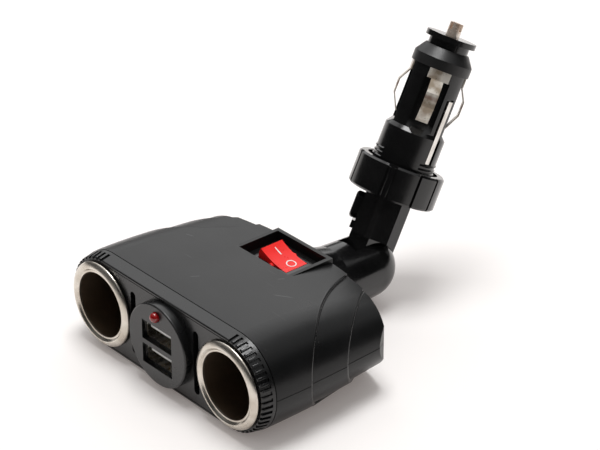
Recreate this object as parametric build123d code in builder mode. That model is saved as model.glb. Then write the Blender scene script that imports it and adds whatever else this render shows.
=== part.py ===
# Twin car power-socket splitter: two lighter sockets, two USB ports and a rocker
# switch in a flat housing, fed by a car plug on a folding arm.
# X runs across the sockets, Y from the sockets to the plug, Z up from the underside.
import math
import os

from build123d import *

os.makedirs("parts", exist_ok=True)

# Driving dimensions, in millimetres
# Body form; setbacks are measured back from the crest of the socket rims
rim_y = -30.0
seam_setback = 6.5
rear_corner_inset = 3.9
rear_corner_drop = 5.7
rear_corner_slope = 1.73
step_depth = 0.7
shell_wall = 2.6
base_trim = 0.1
parting_gap = 0.2
seam_gap = 0.3

# Sockets
socket_pitch = 58.74
socket_bore = 20.7
socket_wall = 0.5
socket_room = 2.05
bore_depth = 27.0
neck_bore = 16.4
socket_depth = 35.0
rim_width = 2.55
rim_crest = 1.0
rim_height = 2.0
rim_groove = 0.7
contact_hole = 6.4
contact_head = 6.0
contact_shank = 3.0
contact_tail = 4.0
insulator_flange = 13.0
insulator_thickness = 1.5

# Front bezel
face_inset = 0.9
face_plate = 2.2
face_round = 0.5
lip_length = 2.4
lip_wall = 1.2
seat_clearance = 0.15
face_line_inset = 0.7
face_line_width = 0.25
face_line_depth = 0.4
rib_pitch_angle = 7.7
rib_count = 24
rib_length = 3.3
rib_gap = 1.1
rib_depth = 0.55
vent_width = 2.4
vent_height = 21.0

# USB module
disc_diameter = 26.4
disc_height = 2.9
disc_round = 0.5
spigot_diameter = 24.4
spigot_length = 5.0
port_width = 13.6
port_height = 6.4
port_rise = 3.1
port_drop = 4.85
port_setback = 1.6
port_length = 14.0
port_sheet = 0.3
tongue_setback = 2.4
tongue_width = 11.2
tongue_thickness = 1.8
tongue_root = 1.2
pad_width = 1.0
pad_thickness = 0.15
pad_pitch = 2.4
led_diameter = 3.1
led_rise = 9.8
led_proud = 0.4
led_length = 6.0
board_width = 21.0
board_length = 24.0
board_thickness = 1.6
inductor_diameter = 9.0
inductor_height = 5.0
inductor_bore = 3.6
inductor_round = 0.6
capacitor_diameter = 5.0
capacitor_height = 7.0

# Switch
switch_setback = 46.9
well_width = 24.8
well_front = 8.9
well_rear_gap = 0.2
well_rim = 1.3
well_rim_rise = 13.3
well_depth = 3.2
well_floor = 1.5
rocker_length = 12.7
rocker_width = 8.2
rocker_angle = 32.0
rocker_rise = 0.5
rocker_dish = 0.7
rocker_gap = 0.2
trunnion_diameter = 2.0
trunnion_length = 0.8
switch_wall = 0.7
switch_room = 0.1
switch_flange = 0.8
flange_thickness = 0.6
switch_depth = 8.4
blade_width = 4.8
blade_thickness = 0.8
blade_length = 6.0
blade_pitch = 7.0

# Housing screws
front_screw_setback = 25.0
rear_screw_x = 20.0
rear_screw_margin = 10.0
boss_diameter = 5.6
boss_gap = 0.4
screw_diameter = 2.6
screw_head = 4.8
screw_head_height = 1.8
driver_width = 0.8
driver_reach = 2.8
driver_depth = 1.0
screw_length = 12.0
screw_recess = 6.0
recess_clearance = 0.4

# Elbow and folding arm; distances along the arm start at the fold pivot
pivot_reach = 23.2
pivot_drop = 3.5
ball_radius = 10.1
shank_radius = 8.4
shank_flange = 9.2
flange_depth = 1.1
flange_gap = 0.3
neck_width = 25.0
neck_top = 10.0
neck_bottom = -13.6
neck_length = 10.0
neck_end_radius = 10.8
cable_bore = 7.0
slot_width = 8.4
arm_lean = 28.0
arm_width = 15.4
arm_front = 7.7
arm_back = 6.8
arm_front_flat = 5.9
arm_side_flat = 4.2
shoulder_start = 9.8
tongue_fit = 0.2
knuckle_radius = 6.5
knuckle_clearance = 0.3
pin_diameter = 4.0
pin_fit = 0.05
pin_length = 15.0
button_start = 13.0
button_length = 8.7
button_width = 4.2
button_proud = 2.5
button_round = 1.0
button_seat = 1.6
button_travel = 1.2
button_fit = 0.08
arm_stud_start = 10.2
arm_stud_length = 2.4
arm_stud_proud = 1.0

# Plug
barrel_start = 24.0
spigot_fit = 0.05
arm_spigot_radius = 7.0
arm_spigot_length = 10.0
sleeve_radius = 9.6
sleeve_end = 46.0
sleeve_round = 1.2
barrel_radius = 8.8
barrel_end = 65.4
crown_radius = 8.1
crown_length = 1.1
leaf_slot_width = 8.0
leaf_slot_floor = 5.8
leaf_slot_start = 48.5
leaf_seat_length = 3.1
leaf_thickness = 0.4
leaf_stem_width = 3.9
leaf_head_width = 6.8
leaf_bulge = 1.8
leaf_shoulder = 4.0
leaf_foot = 5.0
leaf_tip = 48.9
leaf_tip_radius = 8.2
strip_start = 36.8
strip_end = 57.4
strip_width = 1.7
strip_thickness = 0.9
strip_groove = 3.0
strip_floor = 8.2
groove_margin = 0.6
ring_start = 23.6
ring_end = 34.2
ring_radius = 13.8
ring_band = 2.5
ring_hub_start = 25.4
ring_hub_end = 31.2
ring_fit = 0.07
ring_round = 0.6
ring_notch_depth = 0.8
ring_notch_angles = [119, 20, -10]
ring_notch_width = 0.9
ring_thumb_angle = 59
ring_thumb_width = 3.0
nose_radius = 9.2
nose_band = 3.1
nose_tip_radius = 6.95
nose_end = 71.7
nose_bore = 5.2
nose_fit = 0.05
cap_neck_radius = 6.35
cap_flange_start = 74.0
cap_flange_end = 75.7
cap_flange_radius = 7.9
cap_lip = 2.2
tip_radius = 2.15
tip_end = 80.0
tip_fit = 0.06
tip_flange_radius = 3.2
tip_flange = 1.4
tip_cross = 0.9
tip_cross_depth = 2.2
fuse_radius = 3.15
fuse_length = 30.0
fuse_cap_length = 5.0
fuse_glass_step = 0.2
fuse_fit = 0.25
spring_wire = 0.6
spring_turns = 3.5
spring_length = 5.4
spring_radius = 2.3
spring_lift = 0.42

# Places worked out from the driving dimensions
bore_radius = socket_bore / 2
tube_radius = bore_radius + socket_wall
rim_radius = tube_radius + rim_width
body_half_height = tube_radius + socket_room + shell_wall
axis_z = body_half_height
socket_x = socket_pitch / 2
flank_x = socket_x + body_half_height
switch_half = rocker_width / 2 + rocker_gap + switch_wall
rear_setback = switch_setback + switch_half + switch_room + flange_depth + flange_gap + shell_wall
rear_y = rim_y + rear_setback
seam_y = rim_y + seam_setback
face_y = rim_y + rim_height
switch_y = rim_y + switch_setback
body_length = rear_setback - seam_setback
outside = 2 * flank_x


def cross_plane(y):
    return Plane(origin=(0, y, axis_z), x_dir=(1, 0, 0), z_dir=(0, -1, 0))


def socket_section(x):
    return Plane(origin=(x, rim_y, axis_z), x_dir=(1, 0, 0), z_dir=(0, 0, 1))


# Stations of the body: share of its length, then how far each station is wider,
# narrower on its flat base and lower at its shoulders than the front, and its crown
body_stations = [
    (0.00, 0.0, 0.0, 0.0, 0.0),
    (0.27, 0.3, 0.4, 0.6, 0.1),
    (0.55, 0.0, 1.9, 1.8, 0.2),
    (0.82, -0.6, 4.9, 3.1, 0.3),
    (1.08, -1.4, 7.4, 4.5, 0.3),
]

# Step lines in plan, as distances in from the flank and forward of the rear wall
front_step_line = [(-3.1, 39.2), (-0.3, 37.1), (3.7, 33.0), (21.7, 10.0), (25.2, 0.0), (26.3, -8.0)]
rear_step_line = [(-3.1, 26.5), (0.9, 22.5), (3.9, 19.0), (17.4, 1.0), (22.4, -8.0)]


def body_form(inset):
    with BuildPart() as form:
        for share, wider, narrower, lower, crown in body_stations:
            half_width = flank_x + wider - inset
            base_x = socket_x - narrower
            base_z = body_half_height + base_trim - inset
            top_z = body_half_height - lower - inset
            with BuildSketch(cross_plane(seam_y + share * body_length)):
                with BuildLine():
                    Line((-base_x, -base_z), (base_x, -base_z))
                    EllipticalCenterArc((base_x, 0), half_width - base_x, base_z, 270, arc_size=90)
                    EllipticalCenterArc((socket_x, 0), half_width - socket_x, top_z, 0, arc_size=90)
                    Bezier((socket_x, top_z), (0, top_z + 2 * crown), (-socket_x, top_z))
                    EllipticalCenterArc((-socket_x, 0), half_width - socket_x, top_z, 90, arc_size=90)
                    EllipticalCenterArc((-base_x, 0), half_width - base_x, base_z, 180, arc_size=90)
                make_face()
        loft()
    return form.part


def behind_step(line):
    points = [(flank_x - inward, rear_y - forward) for inward, forward in line]
    with BuildPart() as zone:
        with BuildSketch():
            with BuildLine():
                edge = Spline(points)
                Polyline(edge @ 1, (outside, points[-1][1]), (outside, points[0][1]), edge @ 0)
            make_face()
            mirror(about=Plane.YZ)
        extrude(amount=outside)
    return zone.part


def plan_block(inset):
    corner_x = flank_x - rear_corner_inset
    corner_y = rear_y - rear_corner_drop
    flank_y = corner_y - (outside - corner_x) * rear_corner_slope
    corner = (corner_x, corner_y)
    left_corner = (-corner_x, corner_y)
    with BuildPart() as block:
        with BuildSketch():
            with BuildLine():
                Polyline(left_corner, (-outside, flank_y), (-outside, rim_y - outside))
                Polyline((-outside, rim_y - outside), (outside, rim_y - outside))
                Polyline((outside, rim_y - outside), (outside, flank_y), corner)
                ThreePointArc(corner, (0, rear_y), left_corner)
            make_face()
            if inset:
                offset(amount=-inset, kind=Kind.INTERSECTION)
        extrude(amount=outside)
    return block.part


# Outer block of the housing, stepped inward twice towards the rear corners
front_step_zone = behind_step(front_step_line)
rear_step_zone = behind_step(rear_step_line)
with BuildPart() as front_zone:
    add(body_form(0))
    add(front_step_zone, mode=Mode.SUBTRACT)
with BuildPart() as middle_zone:
    add(body_form(step_depth))
    add(front_step_zone, mode=Mode.INTERSECT)
    add(rear_step_zone, mode=Mode.SUBTRACT)
with BuildPart() as rear_zone:
    add(body_form(2 * step_depth))
    add(rear_step_zone, mode=Mode.INTERSECT)
with BuildPart() as body_block:
    add(front_zone.part)
    add(middle_zone.part)
    add(rear_zone.part)
    add(plan_block(0), mode=Mode.INTERSECT)
with BuildPart() as body_cavity:
    add(body_form(shell_wall))
    add(plan_block(shell_wall), mode=Mode.INTERSECT)

lower_boss_radius = boss_diameter / 2 + recess_clearance
front_screw_x = socket_x - tube_radius - recess_clearance - lower_boss_radius
screw_places = [
    (front_screw_x, rim_y + front_screw_setback),
    (-front_screw_x, rim_y + front_screw_setback),
    (rear_screw_x, rear_y - rear_screw_margin),
    (-rear_screw_x, rear_y - rear_screw_margin),
]
pivot = Vector(0, rear_y + pivot_reach, axis_z - pivot_drop)
well_floor_z = axis_z + well_rim_rise - well_depth
well_length = rear_y - well_rear_gap - switch_y + well_front
well_y = rear_y - well_rear_gap - well_length / 2
boss_joint_z = axis_z - boss_gap
seat_z = screw_recess
rear_wall_y = rear_y - shell_wall
flange_front_y = rear_wall_y - flange_gap - flange_depth

# Upper housing, with the sunk well of the switch and the screw posts
with BuildPart() as upper_housing:
    add(body_block.part)
    add(body_cavity.part, mode=Mode.SUBTRACT)
    with BuildSketch(Plane.XY.offset(well_floor_z - well_floor)):
        with Locations((0, well_y)):
            Rectangle(well_width, well_length)
    extrude(amount=well_depth + well_floor)
    with BuildSketch(Plane.XY.offset(well_floor_z)):
        with Locations((0, well_y)):
            Rectangle(well_width - 2 * well_rim, well_length - 2 * well_rim)
    extrude(amount=outside, mode=Mode.SUBTRACT)
    with BuildSketch(Plane.XY.offset(well_floor_z)):
        with Locations((0, switch_y)):
            Rectangle(
                rocker_length + 2 * (rocker_gap + switch_wall + seat_clearance),
                rocker_width + 2 * (rocker_gap + switch_wall + seat_clearance),
            )
    extrude(amount=-2 * well_floor, mode=Mode.SUBTRACT)
    split(bisect_by=Plane.XY.offset(axis_z + parting_gap / 2), keep=Keep.TOP)
    with BuildSketch(cross_plane(rear_wall_y - flange_depth)):
        with Locations((0, -pivot_drop)):
            Circle(shank_radius + seat_clearance)
    extrude(amount=-outside, mode=Mode.SUBTRACT)
with BuildPart() as upper_posts:
    with BuildSketch(Plane.XY.offset(boss_joint_z)):
        with Locations(screw_places):
            Circle(boss_diameter / 2)
    extrude(amount=body_half_height + shell_wall)
    add(body_block.part, mode=Mode.INTERSECT)
    with BuildSketch(Plane.XY.offset(boss_joint_z)):
        with Locations(screw_places):
            Circle(screw_diameter / 2)
    extrude(amount=screw_length - (boss_joint_z - seat_z), mode=Mode.SUBTRACT)
with BuildPart() as upper_shell:
    add(upper_housing.part)
    add(upper_posts.part)
upper_shell.part.label = "upper_housing"
export_step(upper_shell.part, "parts/upper_housing.step")

# Lower housing, with the screw bosses open to the underside
with BuildPart() as lower_housing:
    add(body_block.part)
    add(body_cavity.part, mode=Mode.SUBTRACT)
    split(bisect_by=Plane.XY.offset(axis_z - parting_gap / 2), keep=Keep.BOTTOM)
    with BuildSketch(Plane.XY.offset(shell_wall / 2)):
        with Locations(screw_places):
            Circle(lower_boss_radius)
    extrude(amount=boss_joint_z - shell_wall / 2)
    with BuildSketch():
        with Locations(screw_places):
            Circle(screw_head / 2 + recess_clearance)
    extrude(amount=seat_z, mode=Mode.SUBTRACT)
    with BuildSketch():
        with Locations(screw_places):
            Circle(screw_diameter / 2 + seat_clearance)
    extrude(amount=outside, mode=Mode.SUBTRACT)
    with BuildSketch(cross_plane(rear_wall_y - flange_depth)):
        with Locations((0, -pivot_drop)):
            Circle(shank_radius + seat_clearance)
    extrude(amount=-outside, mode=Mode.SUBTRACT)
lower_housing.part.label = "lower_housing"
export_step(lower_housing.part, "parts/lower_housing.step")

# Self-tapping screws that close the housing from below
with BuildPart() as housing_screws:
    with BuildSketch(Plane.XY.offset(seat_z - screw_head_height)):
        with Locations(screw_places):
            Circle(screw_head / 2)
    extrude(amount=screw_head_height)
    with BuildSketch(Plane.XY.offset(seat_z)):
        with Locations(screw_places):
            Circle(screw_diameter / 2)
    extrude(amount=screw_length - seat_clearance)
    with BuildSketch(Plane.XY.offset(seat_z - screw_head_height)):
        with Locations(screw_places):
            Rectangle(driver_reach, driver_width)
            Rectangle(driver_width, driver_reach)
    extrude(amount=driver_depth, mode=Mode.SUBTRACT)
housing_screws.part.label = "housing_screws"
export_step(housing_screws.part, "parts/housing_screws.step")

# Front bezel: flared rim with ribbed ends, face plate and a lip that enters the housing
face_radius = body_half_height - face_inset
line_radius = face_radius - face_line_inset
vent_x = (disc_diameter / 2 + socket_x - rim_radius) / 2
band_depth = seam_y - seam_gap - face_y
lip_radius = body_half_height - shell_wall - seat_clearance
rib_angles = [(i - (rib_count - 1) / 2) * rib_pitch_angle for i in range(rib_count)]


def rib_plane(side, angle):
    turn = math.radians(angle)
    out = Vector(side * math.cos(turn), 0, math.sin(turn))
    edge = Vector(side * socket_x, face_y, axis_z) + out * face_radius
    slope = out * face_inset + Vector(0, band_depth, 0)
    normal = out * band_depth - Vector(0, face_inset, 0)
    return Plane(origin=edge, x_dir=normal, z_dir=slope)


with BuildPart() as front_bezel:
    with BuildSketch(cross_plane(face_y)):
        SlotCenterToCenter(socket_pitch, 2 * face_radius)
    with BuildSketch(cross_plane(face_y + band_depth)):
        SlotCenterToCenter(socket_pitch, 2 * body_half_height)
    loft()
    fillet(front_bezel.faces().sort_by(Axis.Y)[0].edges(), face_round)
    with BuildSketch(cross_plane(face_y)):
        SlotCenterToCenter(socket_pitch, 2 * line_radius)
        SlotCenterToCenter(socket_pitch, 2 * (line_radius - face_line_width), mode=Mode.SUBTRACT)
    extrude(amount=-face_line_depth, mode=Mode.SUBTRACT)
    with BuildSketch(cross_plane(face_y + face_plate)):
        SlotCenterToCenter(socket_pitch, 2 * lip_radius)
    extrude(amount=-band_depth - lip_length + face_plate - seam_gap)
    with BuildSketch(cross_plane(face_y + face_plate)):
        SlotCenterToCenter(socket_pitch, 2 * (lip_radius - lip_wall))
    extrude(amount=-outside, mode=Mode.SUBTRACT)
    with BuildSketch(cross_plane(face_y - rim_height)):
        with Locations((socket_x, 0), (-socket_x, 0)):
            Circle(tube_radius + seat_clearance)
        Circle(spigot_diameter / 2 + seat_clearance)
        with Locations((vent_x, 0), (-vent_x, 0)):
            SlotOverall(vent_height, vent_width, rotation=90)
    extrude(amount=-outside, mode=Mode.SUBTRACT)
    with Locations(*[rib_plane(side, angle) for side in (1, -1) for angle in rib_angles]):
        Box(2 * rib_depth, rib_gap, 2 * rib_length, mode=Mode.SUBTRACT)
front_bezel.part.label = "front_bezel"
export_step(front_bezel.part, "parts/front_bezel.step")

# Socket shells: drawn metal cups with a rolled rim and a stepped end
crest_radius = tube_radius + rim_crest
neck_radius = neck_bore / 2
for side, name in ((-1, "left"), (1, "right")):
    x = side * socket_x
    socket_axis = Axis((x, 0, axis_z), (0, 1, 0))
    with BuildPart() as socket_shell:
        with BuildSketch(socket_section(x)):
            with BuildLine():
                Polyline(
                    (bore_radius, rim_groove),
                    (bore_radius, bore_depth),
                    (neck_radius, bore_depth),
                    (neck_radius, socket_depth),
                    (contact_hole / 2, socket_depth),
                    (contact_hole / 2, socket_depth + socket_wall),
                    (neck_radius + socket_wall, socket_depth + socket_wall),
                    (neck_radius + socket_wall, bore_depth + socket_wall),
                    (tube_radius, bore_depth + socket_wall),
                    (tube_radius, rim_height),
                    (crest_radius, rim_height),
                )
                Spline(
                    (crest_radius, rim_height),
                    (rim_radius, rim_height / 2),
                    (crest_radius, 0),
                    (tube_radius, rim_groove),
                    tangents=((1, 0), (-1, 1)),
                )
                Line((tube_radius, rim_groove), (bore_radius, rim_groove))
            make_face()
        revolve(axis=socket_axis)
    socket_shell.part.label = name + "_socket_shell"
    export_step(socket_shell.part, "parts/" + name + "_socket_shell.step")

    # Insulating bush behind the cup, with the centre contact riveted through it
    cup_end = socket_depth + socket_wall
    bush_end = cup_end + insulator_thickness
    with BuildPart() as socket_insulator:
        with BuildSketch(socket_section(x)):
            with BuildLine():
                Polyline(
                    (contact_shank / 2, socket_depth),
                    (contact_hole / 2, socket_depth),
                    (contact_hole / 2, cup_end),
                    (insulator_flange / 2, cup_end),
                    (insulator_flange / 2, bush_end),
                    (contact_shank / 2, bush_end),
                    close=True,
                )
            make_face()
        revolve(axis=socket_axis)
    socket_insulator.part.label = name + "_socket_insulator"
    export_step(socket_insulator.part, "parts/" + name + "_socket_insulator.step")

    with BuildPart() as centre_contact:
        with BuildSketch(socket_section(x)):
            with BuildLine():
                Polyline(
                    (contact_head / 2, socket_depth),
                    (contact_shank / 2, socket_depth),
                    (contact_shank / 2, bush_end + contact_tail),
                    (0, bush_end + contact_tail),
                    (0, socket_depth - contact_head / 4),
                )
                ThreePointArc(
                    (0, socket_depth - contact_head / 4),
                    (contact_head / 3, socket_depth - contact_head / 6),
                    (contact_head / 2, socket_depth),
                )
            make_face()
        revolve(axis=socket_axis)
    centre_contact.part.label = name + "_centre_contact"
    export_step(centre_contact.part, "parts/" + name + "_centre_contact.step")

# USB faceplate: domed-edge disc over a spigot, with the two port openings
disc_front = face_y - disc_height
port_heights = {"upper": port_rise, "lower": -port_drop}
with BuildPart() as usb_faceplate:
    with BuildSketch(cross_plane(face_y)):
        Circle(disc_diameter / 2)
    extrude(amount=disc_height)
    fillet(usb_faceplate.faces().sort_by(Axis.Y)[0].edges(), disc_round)
    with BuildSketch(cross_plane(face_y)):
        Circle(spigot_diameter / 2)
    extrude(amount=-spigot_length)
    with BuildSketch(cross_plane(disc_front)):
        with Locations((0, port_rise), (0, -port_drop)):
            Rectangle(port_width, port_height)
        with Locations((0, led_rise)):
            Circle(led_diameter / 2 + seat_clearance)
    extrude(amount=-outside, mode=Mode.SUBTRACT)
usb_faceplate.part.label = "usb_faceplate"
export_step(usb_faceplate.part, "parts/usb_faceplate.step")

# USB receptacles: sheet shells, contact tongues and the contact strips under them
shell_width = port_width - 2 * seat_clearance
shell_height = port_height - 2 * seat_clearance
shell_y = disc_front + port_setback
tongue_y = disc_front + tongue_setback
port_end_y = shell_y + port_length
pad_xs = [(i - 1.5) * pad_pitch for i in range(4)]
for name, height in port_heights.items():
    with BuildPart() as usb_port:
        with BuildSketch(cross_plane(shell_y)):
            with Locations((0, height)):
                RectangleRounded(shell_width, shell_height, 2 * port_sheet)
                Rectangle(
                    shell_width - 2 * port_sheet,
                    shell_height - 2 * port_sheet,
                    mode=Mode.SUBTRACT,
                )
        extrude(amount=-port_length)
    usb_port.part.label = name + "_usb_port"
    export_step(usb_port.part, "parts/" + name + "_usb_port.step")

    tongue_top = height + shell_height / 2 - port_sheet
    with BuildPart() as usb_tongue:
        with BuildSketch(cross_plane(port_end_y - tongue_root)):
            with Locations((0, height)):
                Rectangle(shell_width - 2 * port_sheet, shell_height - 2 * port_sheet)
        extrude(amount=-tongue_root)
        with BuildSketch(cross_plane(tongue_y)):
            with Locations((0, tongue_top - tongue_thickness)):
                Rectangle(tongue_width, tongue_thickness)
        extrude(amount=-(port_end_y - tongue_root - tongue_y))
    usb_tongue.part.label = name + "_usb_tongue"
    export_step(usb_tongue.part, "parts/" + name + "_usb_tongue.step")

with BuildPart() as usb_contacts:
    with BuildSketch(cross_plane(tongue_y + pad_width)):
        for height in port_heights.values():
            pad_z = height + shell_height / 2 - port_sheet - 1.5 * tongue_thickness - pad_thickness / 2
            with Locations(*[(x, pad_z) for x in pad_xs]):
                Rectangle(pad_width, pad_thickness)
    extrude(amount=-(port_end_y - tongue_root - tongue_y - pad_width))
usb_contacts.part.label = "usb_contacts"
export_step(usb_contacts.part, "parts/usb_contacts.step")

# Spacer between the stacked receptacles
lower_top = -port_drop + shell_height / 2
upper_base = port_rise - shell_height / 2
spacer_y = face_y + spigot_length
with BuildPart() as port_spacer:
    with BuildSketch(cross_plane(spacer_y)):
        with Locations((0, (lower_top + upper_base) / 2)):
            Rectangle(shell_width, upper_base - lower_top)
    extrude(amount=-(port_end_y - spacer_y))
port_spacer.part.label = "port_spacer"
export_step(port_spacer.part, "parts/port_spacer.step")

# Power light: a domed lamp in its hole
with BuildPart() as power_led:
    with BuildSketch(cross_plane(disc_front - led_proud)):
        with Locations((0, led_rise)):
            Circle(led_diameter / 2)
    extrude(amount=-led_length)
    with Locations((0, disc_front - led_proud, axis_z + led_rise)):
        Sphere(led_diameter / 2)
power_led.part.label = "power_led"
export_step(power_led.part, "parts/power_led.step")

# Circuit board under the receptacles, with its coil and capacitors
board_top_z = axis_z - port_drop - shell_height / 2
board_y = spacer_y
with BuildPart() as usb_board:
    with BuildSketch(Plane.XY.offset(board_top_z)):
        with Locations((0, board_y + board_length / 2)):
            Rectangle(board_width, board_length)
    extrude(amount=-board_thickness)
usb_board.part.label = "usb_board"
export_step(usb_board.part, "parts/usb_board.step")

coil_y = board_y + board_length - inductor_diameter / 2 - board_thickness
with BuildPart() as inductor:
    with BuildSketch(Plane.XY.offset(board_top_z)):
        with Locations((0, coil_y)):
            Circle(inductor_diameter / 2)
            Circle(inductor_bore / 2, mode=Mode.SUBTRACT)
    extrude(amount=inductor_height)
    fillet(inductor.edges().filter_by(GeomType.CIRCLE), inductor_round)
inductor.part.label = "inductor"
export_step(inductor.part, "parts/inductor.step")

cap_places = [(side * (inductor_diameter / 2 + capacitor_diameter / 2 + seat_clearance), coil_y) for side in (-1, 1)]
with BuildPart() as capacitors:
    with BuildSketch(Plane.XY.offset(board_top_z)):
        with Locations(*cap_places):
            Circle(capacitor_diameter / 2)
    extrude(amount=capacitor_height)
capacitors.part.label = "capacitors"
export_step(capacitors.part, "parts/capacitors.step")

# Rocker switch: open body with a flange on the well floor, blades below, rocker above
flange_top_z = well_floor_z + flange_thickness
rocker_pivot_z = flange_top_z - rocker_rise
switch_cavity = (rocker_length + 2 * rocker_gap, rocker_width + 2 * rocker_gap)
switch_outer = (switch_cavity[0] + 2 * switch_wall, switch_cavity[1] + 2 * switch_wall)
switch_axis_plane = Plane(origin=(0, switch_y, rocker_pivot_z), x_dir=(1, 0, 0), z_dir=(0, -1, 0))
with BuildPart() as switch_body:
    with BuildSketch(Plane.XY.offset(well_floor_z)):
        with Locations((0, switch_y)):
            Rectangle(switch_outer[0] + 2 * switch_flange, switch_outer[1] + 2 * switch_flange)
    extrude(amount=flange_thickness)
    with BuildSketch(Plane.XY.offset(well_floor_z)):
        with Locations((0, switch_y)):
            Rectangle(*switch_outer)
    extrude(amount=-switch_depth)
    with BuildSketch(Plane.XY.offset(flange_top_z)):
        with Locations((0, switch_y)):
            Rectangle(*switch_cavity)
    extrude(amount=-(flange_thickness + switch_depth - switch_wall), mode=Mode.SUBTRACT)
    with BuildSketch(switch_axis_plane):
        Circle(trunnion_diameter / 2 + pin_fit)
    extrude(amount=rocker_width / 2 + trunnion_length + rocker_gap, both=True, mode=Mode.SUBTRACT)
switch_body.part.label = "switch_body"
export_step(switch_body.part, "parts/switch_body.step")

with BuildPart() as switch_terminals:
    with BuildSketch(Plane.XY.offset(well_floor_z - switch_depth)):
        with Locations((-blade_pitch / 2, switch_y), (blade_pitch / 2, switch_y)):
            Rectangle(blade_thickness, blade_width)
    extrude(amount=-blade_length)
switch_terminals.part.label = "switch_terminals"
export_step(switch_terminals.part, "parts/switch_terminals.step")

rocker_radius = rocker_length / 2
rocker_low = math.sqrt(rocker_radius**2 - rocker_rise**2)
raised = math.radians(rocker_angle) + math.asin(rocker_rise / rocker_radius)
rocker_high = (-rocker_radius * math.cos(raised), rocker_radius * math.sin(raised))
dish_mid = ((rocker_low + rocker_high[0]) / 2, (rocker_rise + rocker_high[1]) / 2)
half_tilt = math.radians(rocker_angle / 2)
dish_point = (
    dish_mid[0] - rocker_dish * math.sin(half_tilt),
    dish_mid[1] - rocker_dish * math.cos(half_tilt),
)
with BuildPart() as rocker:
    with BuildSketch(switch_axis_plane):
        with BuildLine():
            ThreePointArc(rocker_high, dish_point, (rocker_low, rocker_rise))
            ThreePointArc((rocker_low, rocker_rise), (0, -rocker_radius), rocker_high)
        make_face()
    extrude(amount=rocker_width / 2, both=True)
    with BuildSketch(switch_axis_plane):
        Circle(trunnion_diameter / 2)
    extrude(amount=rocker_width / 2 + trunnion_length, both=True)
rocker.part.label = "rocker"
export_step(rocker.part, "parts/rocker.step")

# Elbow: shank clamped in the rear wall, flared neck, and a slotted ball for the arm
neck_y = rear_y + seam_gap
neck_end_y = rear_y + neck_length
fold_plane = Plane(origin=pivot, x_dir=(0, 1, 0), z_dir=(1, 0, 0))
half_arm = arm_width / 2
with BuildPart() as elbow:
    with BuildSketch(cross_plane(neck_y)):
        with Locations((0, (neck_top + neck_bottom) / 2)):
            Ellipse(neck_width / 2, (neck_top - neck_bottom) / 2)
    with BuildSketch(cross_plane(neck_end_y)):
        with Locations((0, -pivot_drop)):
            Ellipse(neck_end_radius, neck_end_radius)
    loft()
    with BuildSketch(cross_plane(neck_end_y)):
        with Locations((0, -pivot_drop)):
            Circle(neck_end_radius)
    with BuildSketch(cross_plane(pivot.Y)):
        with Locations((0, -pivot_drop)):
            Circle(ball_radius)
    loft()
    with Locations(pivot):
        Sphere(ball_radius)
    with BuildSketch(cross_plane(flange_front_y)):
        with Locations((0, -pivot_drop)):
            Circle(shank_radius)
    extrude(amount=-(neck_y - flange_front_y))
    with BuildSketch(cross_plane(flange_front_y)):
        with Locations((0, -pivot_drop)):
            Circle(shank_flange)
    extrude(amount=-flange_depth)
    slot_reach = knuckle_radius + knuckle_clearance
    with BuildSketch(fold_plane):
        Circle(slot_reach)
        with Locations((-slot_reach, 0), (0, -slot_reach)):
            Rectangle(outside, outside, align=(Align.MIN, Align.MIN))
    extrude(amount=slot_width / 2, both=True, mode=Mode.SUBTRACT)
    with BuildSketch(fold_plane):
        Circle(pin_diameter / 2)
    extrude(amount=pin_length / 2, both=True, mode=Mode.SUBTRACT)
    with BuildSketch(cross_plane(flange_front_y)):
        with Locations((0, -pivot_drop)):
            Circle(cable_bore / 2)
    extrude(amount=-(pivot.Y - slot_reach / 2 - flange_front_y), mode=Mode.SUBTRACT)
elbow.part.label = "elbow"
export_step(elbow.part, "parts/elbow.step")

with BuildPart() as hinge_pin:
    with BuildSketch(fold_plane):
        Circle(pin_diameter / 2)
    extrude(amount=pin_length / 2, both=True)
hinge_pin.part.label = "hinge_pin"
export_step(hinge_pin.part, "parts/hinge_pin.step")

# Frame of the plug: distances run along its axis from the fold pivot
lean = math.radians(arm_lean)
along = Vector(0, math.sin(lean), math.cos(lean))
back = Vector(0, math.cos(lean), -math.sin(lean))
across = Vector(1, 0, 0)
plug_axis = Axis(pivot, along)
plug_section = Plane(origin=pivot, x_dir=across, z_dir=back * -1)


def plug_plane(distance):
    return Plane(origin=pivot + along * distance, x_dir=across, z_dir=along)


def plug_side(angle):
    turn = math.radians(angle)
    out = across * math.cos(turn) - back * math.sin(turn)
    return Plane(origin=pivot, x_dir=out, z_dir=out.cross(along))


# Arm: eight-sided bar with a tongue for the fold and a spigot for the plug
arm_corners = [
    (half_arm, -arm_side_flat / 2),
    (half_arm, arm_side_flat / 2),
    (arm_front_flat / 2, arm_back),
    (-arm_front_flat / 2, arm_back),
    (-half_arm, arm_side_flat / 2),
    (-half_arm, -arm_side_flat / 2),
    (-arm_front_flat / 2, -arm_front),
    (arm_front_flat / 2, -arm_front),
]
chamfer_middle = Vector(-(half_arm + arm_front_flat / 2) / 2, -(arm_front + arm_side_flat / 2) / 2)
chamfer_out = Vector(-(arm_front - arm_side_flat / 2), -(half_arm - arm_front_flat / 2)).normalized()
button_out = across * chamfer_out.X + back * chamfer_out.Y
button_middle = button_start + button_length / 2
button_origin = pivot + across * chamfer_middle.X + back * chamfer_middle.Y + along * button_middle


def button_plane(height):
    return Plane(origin=button_origin + button_out * height, x_dir=along, z_dir=button_out)


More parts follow.
